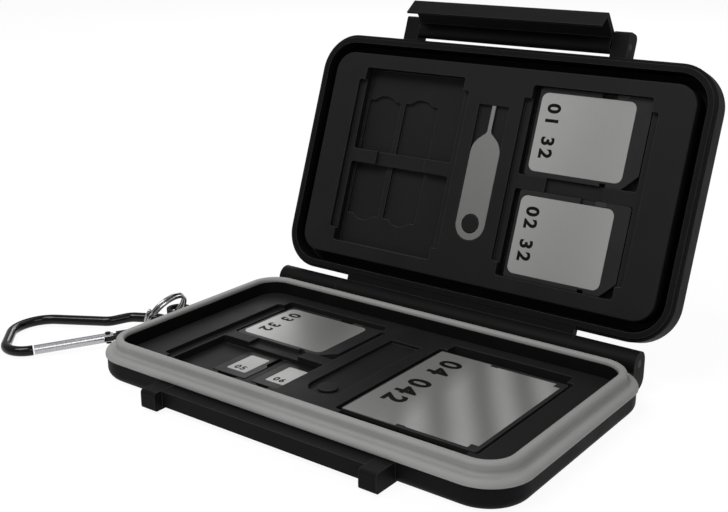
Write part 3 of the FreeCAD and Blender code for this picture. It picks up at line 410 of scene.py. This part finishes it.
@dataclass(frozen=True)
class PrintedFilm(Finish):
    """Silver-grey printed film: a satin face with a painted sheen that comes and goes in soft
    slanting bands.

    The painted sheen's bands set in over a stretch along X, given in places of the object. The
    grain is finer than 0.1 mm in the real ink and is drawn coarser, so that it shows.
    """

    rougher: float = 0.08
    metallic: float = 0.1
    specular: float = 0.3
    sheen_colour: str = "#b4b4b2"
    sheen_band_mm: float = 40.0
    sheen_bend: float = 0.6
    sheen_turn_deg: float = 30.0
    sheen_shift_mm: float = 0.0
    sheen_from_mm: float = -100.0
    sheen_over_mm: float = 1.0
    grain_mm: float = 0.22
    grain_depth_mm: float = 0.004
    speck_colour: str = "#5c5c5b"
    speck_share: float = 0.12

    def dress(self, tree: bpy.types.NodeTree, shader: bpy.types.Node) -> None:
        """Adds a painted sheen in slanting bands and the fine grain of the metallic ink.

        Args:
            tree: The material's node tree.
            shader: Its surface shader.
        """
        place = add_node(tree, "ShaderNodeTexCoord").outputs["Object"]
        turned = {
            "Vector": place,
            "Location": (self.sheen_shift_mm * MM, 0.0, 0.0),
            "Rotation": (0.0, 0.0, math.radians(self.sheen_turn_deg)),
        }
        across = add_node(tree, "ShaderNodeMapping", turned).outputs[0]
        # Painted sheen: soft slanting bands that mix a lighter colour into the print
        wave = {
            "Vector": across,
            "Scale": WAVE_PERIOD * cells(self.sheen_band_mm),
            "Distortion": self.sheen_bend,
        }
        bands = add_node(tree, "ShaderNodeTexWave", wave, wave_profile="SIN").outputs["Fac"]
        along = add_node(tree, "ShaderNodeSeparateXYZ", {0: place}).outputs[0]
        start = self.sheen_from_mm * MM
        sheen_onset = {"Value": along, "From Min": start, "From Max": start + self.sheen_over_mm * MM}
        strength = add_node(tree, "ShaderNodeMapRange", sheen_onset).outputs[0]
        factors = {0: bands, 1: strength}
        share = add_node(tree, "ShaderNodeMath", factors, operation="MULTIPLY").outputs[0]
        pair = {
            MIX_SHARE: share,
            MIX_FIRST: linear(self.colour),
            MIX_SECOND: linear(self.sheen_colour),
        }
        # Painted sheen: the lighter sheen colour laid over the print where the bands fall
        printed = add_node(tree, "ShaderNodeMix", pair, data_type="RGBA").outputs[MIX_RESULT]
        fine = {"Vector": place, "Scale": cells(self.grain_mm)}
        grain = add_node(tree, "ShaderNodeTexNoise", fine).outputs[0]
        specks = {
            "Value": grain,
            "From Min": NOISE_LOW,
            "From Max": NOISE_HIGH,
            "To Max": self.speck_share,
        }
        share = add_node(tree, "ShaderNodeMapRange", specks).outputs[0]
        pair = {MIX_SHARE: share, MIX_FIRST: printed, MIX_SECOND: linear(self.speck_colour)}
        colour = add_node(tree, "ShaderNodeMix", pair, data_type="RGBA").outputs[MIX_RESULT]
        tree.links.new(colour, shader.inputs["Base Color"])
        polish = add_node(tree, "ShaderNodeMapRange", self.polish_range(grain)).outputs[0]
        tree.links.new(polish, shader.inputs["Roughness"])
        shader.inputs["Metallic"].default_value = self.metallic
        shader.inputs["Specular IOR Level"].default_value = self.specular
        relief = {"Height": grain, "Distance": self.grain_depth_mm * MM}
        bump = add_node(tree, "ShaderNodeBump", relief).outputs[0]
        tree.links.new(bump, shader.inputs["Normal"])


@dataclass(frozen=True)
class Ink(Finish):
    """Screen-printed black ink: matt, a little thin in places."""

    smoother: float = 0.1
    rougher: float = 0.1
    specular: float = 0.08
    patch_mm: float = 0.6
    patch_detail: float = 3.0
    thin_colour: str = "#181818"
    thin_low: float = 0.5
    thin_high: float = 0.8
    thin_share: float = 0.6

    def dress(self, tree: bpy.types.NodeTree, shader: bpy.types.Node) -> None:
        """Adds thin patches in the ink.

        Args:
            tree: The material's node tree.
            shader: Its surface shader.
        """
        place = add_node(tree, "ShaderNodeTexCoord").outputs["Object"]
        fine = {"Vector": place, "Scale": cells(self.patch_mm), "Detail": self.patch_detail}
        patches = add_node(tree, "ShaderNodeTexNoise", fine).outputs[0]
        thin = {
            "Value": patches,
            "From Min": self.thin_low,
            "From Max": self.thin_high,
            "To Max": self.thin_share,
        }
        share = add_node(tree, "ShaderNodeMapRange", thin).outputs[0]
        pair = {
            MIX_SHARE: share,
            MIX_FIRST: linear(self.colour),
            MIX_SECOND: linear(self.thin_colour),
        }
        colour = add_node(tree, "ShaderNodeMix", pair, data_type="RGBA").outputs[MIX_RESULT]
        tree.links.new(colour, shader.inputs["Base Color"])
        polish = add_node(tree, "ShaderNodeMapRange", self.polish_range(patches)).outputs[0]
        tree.links.new(polish, shader.inputs["Roughness"])
        shader.inputs["Specular IOR Level"].default_value = self.specular


# Black ABS shells: the tool's fine pits leave a matt face that only the painted edge highlight
# lifts
SHELL = Moulding("abs_shell_matt_black", "#0d0d0e", 0.55, specular=0.055)
# Black ABS trays: the same plastic with a slightly paler, drier face and the same painted edge
# highlight
TRAY = Moulding("abs_tray_matt_black", "#141415", 0.58, pit_mm=0.28)
# Black card housings: smoother moulding, a touch glossier than the trays, with a dimmer painted
# edge highlight
CARD = Moulding("abs_card_satin_black", "#1f1f20", 0.45, edge_highlight_colour="#363637", pit_mm=0.2)
# Small card housings: the same moulding in a deeper black, with the same dimmer painted edge
# highlight
SMALL_CARD = Moulding("abs_small_card_satin_black", "#111112", 0.45, edge_highlight_colour="#363637",
                      pit_mm=0.2)
# Dark grey lock sliders of the same card plastic, with a dimmer painted edge highlight
LOCK = Moulding("abs_lock_slider_grey", "#2a2a2b", 0.5, edge_highlight_colour="#424243", pit_mm=0.2)
# Grey thermoplastic rubber seal: satin with a soft bloom
SEAL = Elastomer("thermoplastic_rubber_grey", "#7e7e7d", 0.6)
# Blackened steel pins, rivet and spring: long fine lines along the case's width
PIN = Metal("blackened_steel_pin", "#0c0c0d", 0.5, stretch=(0.05, 1.0, 1.0),
            dull_colour="#080809")
# Nickel-plated spring wire of the split ring: bright, with faint marks
RING = Metal("nickel_plated_spring_wire", "#9c9c9d", 0.18, mark_mm=0.6, dull_colour="#5f5f60")
# Polished aluminium gate tube: soft lines along its length
GATE = Metal("polished_aluminium_tube", "#b9b9bb", 0.24, mark_mm=0.3,
             turn_deg=(0.0, 0.0, -58.0), stretch=(0.08, 1.0, 1.0), dull_colour="#88888a")
# Gloss enamel over the carabiner's wire: near black, with narrow highlights
HOOK = GlossPaint("gloss_enamel_black", "#040405", 0.1)
# Bead-blasted stainless tool: even grey with a fine grain
TOOL = Metal("blasted_stainless_steel", "#7c7c7a", 0.5, mark_mm=0.18, mark_depth_mm=0.006,
             dull_colour="#6c6c6a")
# Gold-plated contacts: warm and bright, with faint rub marks
CONTACT = Metal("gold_plated_contact", "#d9b25a", 0.25, mark_mm=0.15, dull_colour="#b48d3d")
# Labels of the lid's cards: silver-grey printed film under painted sheen bands
LID_LABEL = PrintedFilm("printed_film_silver", "#828280", 0.42, sheen_colour="#8e8e8c")
# Label of the base's card: the same film, with one wide band of painted sheen that makes it paler
# towards one end
BASE_LABEL = PrintedFilm("printed_film_silver_base", "#646463", 0.4, sheen_colour="#a2a2a0",
                         sheen_band_mm=58.0, sheen_turn_deg=-20.0, sheen_shift_mm=76.0)
# Labels of the small cards: pale film under painted sheen bands
SMALL_LABEL = PrintedFilm("printed_film_pale", "#8e8e8c", 0.45, sheen_colour="#989896",
                          sheen_band_mm=18.0)
# Cover sheets of the wide card: thin stamped steel under a grey print, with painted sheen in
# slanting bands
COVER = PrintedFilm("printed_steel_sheet", "#686867", 0.38, sheen_colour="#8c8c8a",
                    sheen_band_mm=10.5, sheen_turn_deg=-34.0, sheen_shift_mm=2.5, sheen_from_mm=18.0,
                    sheen_over_mm=8.0)
# Black screen ink of the printed numbers: matt, thinner in patches
INK = Ink("screen_ink_black", "#080808", 0.65)


@dataclass
class CarriedNodes:
    """CAD nodes that keep their shape and get a finish."""

    finishes: dict[str, Finish] = field(default_factory=dict)

    def __post_init__(self) -> None:
        """Lists each node's finish."""
        self.finishes.update(dict.fromkeys(("base_shell", "lid_shell", "latch_flap"), SHELL))
        self.finishes.update(dict.fromkeys(("base_insert", "lid_insert"), TRAY))
        self.finishes.update(dict.fromkeys(("hinge_pin", "latch_pin", "gate_rivet"), PIN))
        self.finishes.update(rim_seal=SEAL, eject_tool=TOOL)
        self.finishes.update(carabiner_body=HOOK, carabiner_gate=GATE)
        self.finishes.update(cf_frame=CARD, cf_top_cover=COVER, cf_bottom_cover=COVER)
        labels = {
            "base_sd": BASE_LABEL,
            "lid_sd_front": LID_LABEL,
            "lid_sd_rear": LID_LABEL,
            "micro_left": SMALL_LABEL,
            "micro_right": SMALL_LABEL,
        }
        for card, label in labels.items():
            self.finishes[card + "_body"] = SMALL_CARD if label is SMALL_LABEL else CARD
            self.finishes[card + "_label"] = label
            self.finishes[card + "_contacts"] = CONTACT
            if card + "_lock" in frame["nodes"]:
                self.finishes[card + "_lock"] = LOCK

    def dress(self) -> None:
        """Sets the finish of each node in the node's material slots."""
        for name, finish in self.finishes.items():
            mesh = frame["nodes"][name].data
            mesh.materials.clear()
            mesh.materials.append(finish.material())
            log.info("%s: %s", name, finish.name)


def new_piece(
    name: str, mesh: bpy.types.Mesh, finish: Finish, body: Body,
) -> bpy.types.Object:
    """Makes a finished piece that rides on a body.

    Args:
        name: The piece's name.
        mesh: Its mesh, in place.
        finish: Its surface.
        body: The body that carries it.

    Returns:
        The piece.
    """
    piece = bpy.data.objects.new(name, mesh)
    bpy.context.scene.collection.objects.link(piece)
    mesh.materials.clear()
    mesh.materials.append(finish.material())
    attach(piece, body.value)
    log.info("%s: %s on %s", name, finish.name, body.value)
    return piece


def mesh_from(name: str, shape: bmesh.types.BMesh, smooth: bool) -> bpy.types.Mesh:
    """Turns a bmesh into a mesh and frees it.

    Args:
        name: The mesh's name.
        shape: The finished bmesh.
        smooth: True for a surface shaded as one curve.

    Returns:
        The mesh.
    """
    bmesh.ops.recalc_face_normals(shape, faces=shape.faces)
    for face in shape.faces:
        face.smooth = smooth
    mesh = bpy.data.meshes.new(name)
    shape.to_mesh(mesh)
    shape.free()
    return mesh


def joint(name: str) -> dict[str, Any]:
    """Finds a joint of the frame by its name."""
    return next(item for item in frame["joints"] if item["name"] == name)


def axes_matrix(along: Vector, up: Vector, normal: Vector, origin: Vector) -> Matrix:
    """Makes a frame from three directions and a point.

    Args:
        along: Direction of local X.
        up: Direction of local Y.
        normal: Direction of local Z.
        origin: Place of the local origin.

    Returns:
        The matrix that turns local places into places of the object.
    """
    matrix = Matrix((along, up, normal)).transposed().to_4x4()
    matrix.translation = origin
    return matrix


@dataclass
class Coil:
    """Round wire wound about an axis, its middle at the local origin."""

    name: str
    node: str
    body: Body
    slot: str
    finish: Finish
    place: Matrix
    radius_mm: float
    wire_mm: float
    pitch_mm: float
    turns: float
    start_deg: float = 0.0
    sides: int = 14
    steps_per_turn: int = 56

    def build(self) -> bpy.types.Object:
        """Winds the wire with a spin that climbs, and lets it stand for its node.

        Returns:
            The piece.
        """
        shape = bmesh.new()
        height = self.pitch_mm * self.turns
        start = Matrix.Rotation(math.radians(self.start_deg), 4, "Z")
        lift = Matrix.Translation((self.radius_mm, 0.0, -height / 2))
        stand = Matrix.Rotation(math.radians(90.0), 4, "X")
        bmesh.ops.create_circle(shape, segments=self.sides, radius=self.wire_mm,
                                matrix=start @ lift @ stand)
        steps = round(self.turns * self.steps_per_turn)
        bmesh.ops.spin(shape, geom=shape.verts[:] + shape.edges[:], cent=(0, 0, 0),
                       axis=AXIS_Z, angle=self.turns * math.tau,
                       dvec=(0, 0, height / steps), steps=steps)
        ends = [edge for edge in shape.edges if edge.is_boundary]
        bmesh.ops.holes_fill(shape, edges=ends)
        bmesh.ops.scale(shape, vec=(MM, MM, MM), verts=shape.verts)
        bmesh.ops.transform(shape, matrix=self.place, verts=shape.verts)
        mesh = mesh_from(self.name, shape, smooth=True)
        piece = new_piece(self.name, mesh, self.finish, self.body)
        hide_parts(self.node)
        return piece


@dataclass
class CarryHook:
    """The split ring and the spring in the carabiner's gate."""

    ring_radius_mm: float = 6.3
    ring_wire_mm: float = 0.48
    ring_pitch_mm: float = 1.0
    ring_turns: float = 2.0
    ring_lean_deg: float = 56.7
    ring_hang_deg: float = 108.0
    ring_start_deg: float = 288.0
    spring_radius_mm: float = 0.55
    spring_wire_mm: float = 0.12
    spring_pitch_mm: float = 0.75
    spring_turns: float = 6.0
    spring_sides: int = 8
    spring_steps_per_turn: int = 24

    def build(self) -> None:
        """Winds the ring through the eyelet and the spring along the gate."""
        self.ring()
        self.spring()

    def ring(self) -> None:
        """Winds the split ring, which leans and hangs from the eyelet."""
        lean = math.radians(self.ring_lean_deg)
        hang = math.radians(self.ring_hang_deg)
        up = Vector((math.cos(lean), 0.0, math.sin(lean)))
        eyelet = Vector(joint("ring_swing")["pos_m"])
        reach = (up * math.cos(hang) + AXIS_Y * math.sin(hang)) * self.ring_radius_mm * MM
        Coil(
            name="split_ring_wire",
            node="split_ring",
            body=Body.RING,
            slot="ring_chrome",
            finish=RING,
            place=axes_matrix(up, AXIS_Y, up.cross(AXIS_Y), eyelet - reach),
            radius_mm=self.ring_radius_mm,
            wire_mm=self.ring_wire_mm,
            pitch_mm=self.ring_pitch_mm,
            turns=self.ring_turns,
            start_deg=self.ring_start_deg,
        ).build()

    def spring(self) -> None:
        """Winds the spring that lies inside the gate's tube."""
        low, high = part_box("gate_spring")
        hinge = joint("gate_hinge")
        middle = (low + high) / 2
        along = (middle - Vector(hinge["pos_m"])).normalized()
        side = Vector(hinge["axis"]).cross(along).normalized()
        Coil(
            name="gate_spring_wire",
            node="gate_spring",
            body=Body.GATE,
            slot="pin_steel",
            finish=PIN,
            place=axes_matrix(side, along.cross(side), along, middle),
            radius_mm=self.spring_radius_mm,
            wire_mm=self.spring_wire_mm,
            pitch_mm=self.spring_pitch_mm,
            turns=self.spring_turns,
            sides=self.spring_sides,
            steps_per_turn=self.spring_steps_per_turn,
        ).build()


@dataclass(frozen=True)
class TypeSize:
    """How tall a label's print is, where it starts, and how thick the label under it is."""

    reading: Reading
    height_mm: float
    start_mm: float
    margin_mm: float
    label_mm: float = 0.2


@dataclass
class CardNumber:
    """A card's printed number: its slot and, on a larger card, its length in millimetres."""

    name: str
    digits: str
    node: str
    body: Body
    normal: Vector
    size: TypeSize
    ink_mm: float = 0.02
    bold_share: float = 0.055
    cap_share: float = 0.7
    letter_space: float = 1.3

    def bold_mm(self) -> float:
        """Gives how far a bevel widens the strokes on each side."""
        return self.bold_share * self.size.height_mm

    def build(self) -> bpy.types.Object:
        """Prints the digits on the label's face.

        Returns:
            The piece.
        """
        shape = bmesh.new()
        shape.from_mesh(self.digit_mesh())
        # The type stands out by its extrusion and its bevel, on both faces
        type_depth_mm = 2 * (self.bold_mm() + self.bold_mm())
        flat = self.ink_mm / type_depth_mm
        bmesh.ops.scale(shape, vec=(MM, MM, MM * flat), verts=shape.verts)
        bmesh.ops.transform(shape, matrix=self.place(), verts=shape.verts)
        mesh = mesh_from(self.name, shape, smooth=False)
        return new_piece(self.name, mesh, INK, self.body)

    def digit_mesh(self) -> bpy.types.Mesh:
        """Sets the digits in type that a bevel makes bold, in millimetres.

        Returns:
            The mesh, its baseline on X and its left end at the origin.
        """
        type_curve = bpy.data.curves.new(self.name + "_type", "FONT")
        type_curve.body = self.digits
        type_curve.size = self.size.height_mm / self.cap_share
        type_curve.extrude = self.bold_mm()
        type_curve.bevel_depth = self.bold_mm()
        type_curve.bevel_resolution = 0
        type_curve.space_character = self.letter_space
        holder = bpy.data.objects.new(self.name + "_type", type_curve)
        bpy.context.scene.collection.objects.link(holder)
        graph = bpy.context.evaluated_depsgraph_get()
        mesh = bpy.data.meshes.new_from_object(holder.evaluated_get(graph))
        bpy.data.objects.remove(holder)
        bpy.data.curves.remove(type_curve)
        return mesh

    def place(self) -> Matrix:
        """Finds where the print starts on the label.

        Returns:
            The frame of the first digit's lower left corner.
        """
        low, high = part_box(self.node)
        face_up = self.normal.cross(AXIS_X)
        span = high - low
        thickness = self.size.label_mm * MM
        half_across = span.x / 2
        half_up = span.y / 2
        if abs(self.normal.y) > abs(self.normal.z):
            half_up = (span.z - thickness * abs(self.normal.z)) / abs(self.normal.y) / 2
        face = (low + high) / 2 + self.normal * (thickness / 2)
        start = self.size.start_mm * MM
        margin = self.size.margin_mm * MM
        if self.size.reading is Reading.ACROSS_CARD:
            corner = face - AXIS_X * (half_across - margin) + face_up * (half_up - start)
            return axes_matrix(-face_up, AXIS_X, self.normal, corner)
        corner = face - AXIS_X * (half_across - start) - face_up * (half_up - margin)
        return axes_matrix(AXIS_X, face_up, self.normal, corner)


@dataclass
class CardPrint:
    """The numbers of all the cards."""

    large: TypeSize = TypeSize(Reading.ACROSS_CARD, height_mm=3.6, start_mm=2.8, margin_mm=2.4)
    wide: TypeSize = TypeSize(Reading.ACROSS_CARD, height_mm=5.6, start_mm=4.2, margin_mm=3.8,
                              label_mm=0.3)
    small: TypeSize = TypeSize(Reading.ALONG_EDGE, height_mm=2.0, start_mm=1.4, margin_mm=1.1)

    def build(self) -> None:
        """Prints the numbers on each label."""
        lid_face = Vector(joint("lid_sd_front_lift")["axis"]).normalized()
        numbers = (
            CardNumber("number_lid_front", "01 32", "lid_sd_front_label", Body.LID_FRONT_CARD,
                       lid_face, self.large),
            CardNumber("number_lid_rear", "02 32", "lid_sd_rear_label", Body.LID_REAR_CARD,
                       lid_face, self.large),
            CardNumber("number_base", "03 32", "base_sd_label", Body.BASE_CARD, AXIS_Z,
                       self.large),
            CardNumber("number_wide", "04 042", "cf_top_cover", Body.WIDE_CARD, AXIS_Z,
                       self.wide),
            CardNumber("number_small_left", "05", "micro_left_label", Body.SMALL_LEFT, AXIS_Z,
                       self.small),
            CardNumber("number_small_right", "06", "micro_right_label", Body.SMALL_RIGHT, AXIS_Z,
                       self.small),
        )
        for number in numbers:
            number.build()


@dataclass
class Lamp:
    """A soft box that faces the case, its sizes and places in metres."""

    name: str
    place: Vector
    width: float
    height: float
    watts: float
    aim: Vector = field(default_factory=lambda: Vector((0.0, 0.01, 0.03)))

    def build(self) -> None:
        """Adds the lamp."""
        light = bpy.data.lights.new(self.name, "AREA")
        light.shape = "RECTANGLE"
        light.size = self.width
        light.size_y = self.height
        light.energy = self.watts
        lamp = bpy.data.objects.new(self.name, light)
        lamp.location = self.place
        lamp.rotation_mode = "QUATERNION"
        lamp.rotation_quaternion = (self.aim - self.place).to_track_quat("-Z", "Y")
        bpy.context.scene.collection.objects.link(lamp)


@dataclass
class Studio:
    """White floor, soft light and the camera, their sizes and places in metres."""

    floor_half: float = 4.0
    floor_glow: float = 0.93
    paper_colour: str = "#f4f4f4"
    white: str = "#ffffff"
    sky_strength: float = 0.4
    camera_place: Vector = field(default_factory=lambda: Vector((0.15484, -0.20649, 0.11699)))
    camera_aim: Vector = field(default_factory=lambda: Vector((0.00451, -0.00536, 0.03695)))
    lens_mm: float = 55.55
    sensor_mm: float = 36.0
    nearest: float = 0.01
    farthest: float = 20.0

    def build(self) -> None:
        """Builds the floor, the sky, the lamps and the camera."""
        bpy.context.scene.view_settings.view_transform = "Standard"
        self.floor()
        self.sky()
        self.lamps()
        self.camera()

    def lamps(self) -> None:
        """Places a key and a fill in front of the case, one over its back and one behind it."""
        soft_boxes = (
            Lamp("key_soft_box", place=Vector((-0.2, -0.43, 0.85)), width=0.5, height=0.5,
                 watts=6.4),
            Lamp("fill_soft_box", place=Vector((0.6, -0.35, 0.6)), width=0.5, height=0.5,
                 watts=1.8),
            Lamp("top_soft_box", place=Vector((-0.1, 0.35, 0.8)), width=0.6, height=0.4,
                 watts=0.9),
            Lamp("rear_soft_box", place=Vector((-0.45, 0.75, 0.5)), width=0.5, height=0.5,
                 watts=3.0),
        )
        for soft_box in soft_boxes:
            soft_box.build()

    def background_rays(self, tree: bpy.types.NodeTree) -> bpy.types.NodeSocket:
        """Marks the rays that should meet a white background.

        Args:
            tree: Node tree that gets the nodes.

        Returns:
            A socket that is 1 for camera, glossy and transmission rays.
        """
        path = add_node(tree, "ShaderNodeLightPath").outputs
        seen = {0: path["Is Camera Ray"], 1: path["Is Glossy Ray"]}
        first = add_node(tree, "ShaderNodeMath", seen, operation="MAXIMUM").outputs[0]
        both = {0: first, 1: path["Is Transmission Ray"]}
        return add_node(tree, "ShaderNodeMath", both, operation="MAXIMUM").outputs[0]

    def floor(self) -> None:
        """Lays a white floor that keeps the case's shadow."""
        shape = bmesh.new()
        bmesh.ops.create_grid(shape, x_segments=1, y_segments=1, size=self.floor_half)
        mesh = mesh_from("floor", shape, smooth=False)
        plane = bpy.data.objects.new("floor", mesh)
        bpy.context.scene.collection.objects.link(plane)
        material = bpy.data.materials.new("studio_paper_white")
        material.use_nodes = True
        tree = material.node_tree
        paper = tree.nodes["Principled BSDF"]
        paper.inputs["Base Color"].default_value = linear(self.paper_colour)
        paper.inputs["Roughness"].default_value = 1.0
        paper.inputs["Specular IOR Level"].default_value = 0.0
        light = {"Color": linear(self.white), "Strength": 1.0}
        glow = add_node(tree, "ShaderNodeEmission", light).outputs[0]
        factors = {0: self.background_rays(tree), 1: self.floor_glow}
        share = add_node(tree, "ShaderNodeMath", factors, operation="MULTIPLY").outputs[0]
        shaders = {0: share, 1: paper.outputs[0], 2: glow}
        surface = add_node(tree, "ShaderNodeMixShader", shaders).outputs[0]
        tree.links.new(surface, tree.nodes["Material Output"].inputs["Surface"])
        mesh.materials.append(material)

    def sky(self) -> None:
        """Lights the case from all round and shows white to the camera."""
        world = bpy.data.worlds.new("studio_sky")
        world.use_nodes = True
        bpy.context.scene.world = world
        tree = world.node_tree
        seen = add_node(tree, "ShaderNodeLightPath").outputs["Is Camera Ray"]
        level = {"Value": seen, "To Min": self.sky_strength, "To Max": 1.0}
        strength = add_node(tree, "ShaderNodeMapRange", level).outputs[0]
        background = tree.nodes["Background"]
        background.inputs["Color"].default_value = linear(self.white)
        tree.links.new(strength, background.inputs["Strength"])

    def camera(self) -> None:
        """Sets the camera where the photograph was taken from."""
        data = bpy.data.cameras.new("camera")
        data.lens = self.lens_mm
        data.sensor_width = self.sensor_mm
        data.clip_start = self.nearest
        data.clip_end = self.farthest
        camera = bpy.data.objects.new("camera", data)
        camera.location = self.camera_place
        camera.rotation_mode = "QUATERNION"
        line = self.camera_aim - self.camera_place
        camera.rotation_quaternion = line.to_track_quat("-Z", "Y")
        bpy.context.scene.collection.objects.link(camera)
        bpy.context.scene.camera = camera


def main() -> None:
    """Builds the looks of the case in order."""
    logging.basicConfig(level=logging.INFO, format="%(name)s %(message)s")
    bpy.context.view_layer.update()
    CarriedNodes().dress()
    CarryHook().build()
    CardPrint().build()
    Studio().build()


if __name__ == "__main__":
    main()
